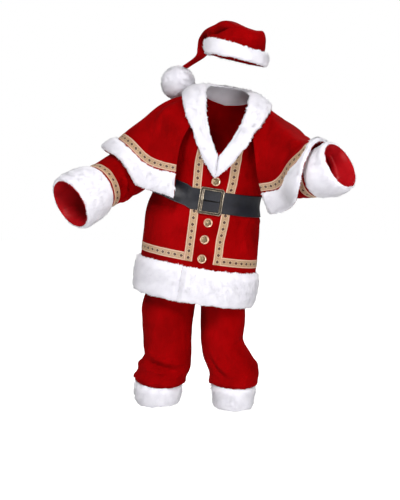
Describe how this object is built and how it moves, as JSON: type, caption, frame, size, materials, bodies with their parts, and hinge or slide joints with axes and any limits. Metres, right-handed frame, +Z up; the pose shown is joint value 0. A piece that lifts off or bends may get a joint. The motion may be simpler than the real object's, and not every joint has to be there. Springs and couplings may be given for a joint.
{
  "type": "santa suit",
  "caption": "Worn red velvet Santa suit: caped coat with fur, gold braid, belt and buckle, trousers with fur ankles, and a folded fur-trimmed hat with pompom.",
  "frame": {"origin": "centre of the neck, where the wearer's shoulders and neck hold the suit", "axes": "+Z up, the wearer's front faces -Y, the wearer's left is +X"},
  "size_m": [1.1661, 0.6415, 1.5377],
  "materials": {
    "velvet": "deep crimson velvet, short pile with a soft sheen",
    "fur": "white long plush fur with a faint cool tint",
    "braid": "woven beige-gold braid with small dark diamonds",
    "satin": "bright red satin lining",
    "leather": "slate-black leather, soft gloss",
    "brass": "antique brass, satin",
    "button_metal": "antique gold, domed with a lighter rim"
  },
  "bodies": {
    "root": {"ankle_fur_left": "fur", "ankle_fur_right": "fur", "belt_strap": "leather", "buckle_frame": "brass", "buckle_prong": "brass", "button_1": "button_metal", "button_2": "button_metal", "button_3": "button_metal", "button_4": "button_metal", "cape_back": "velvet", "cape_braid": "braid", "cape_fur": "fur", "cape_left": "velvet", "cape_right": "velvet", "coat_back": "velvet", "coat_braid_hem": "braid", "coat_braid_left": "braid", "coat_braid_right": "braid", "coat_front_left": "velvet", "coat_front_right": "velvet", "coat_fur_hem": "fur", "collar_fur": "fur", "cuff_fur_left": "fur", "cuff_fur_right": "fur", "cuff_lining_left": "satin", "cuff_lining_right": "satin", "hat_band": "fur", "hat_crown": "velvet", "hat_pompom": "fur", "sleeve_braid_left": "braid", "sleeve_braid_right": "braid", "sleeve_left": "velvet", "sleeve_right": "velvet", "trousers_back_left": "velvet", "trousers_back_right": "velvet", "trousers_front_left": "velvet", "trousers_front_right": "velvet", "waistband": "velvet"}
  },
  "joints": []
}
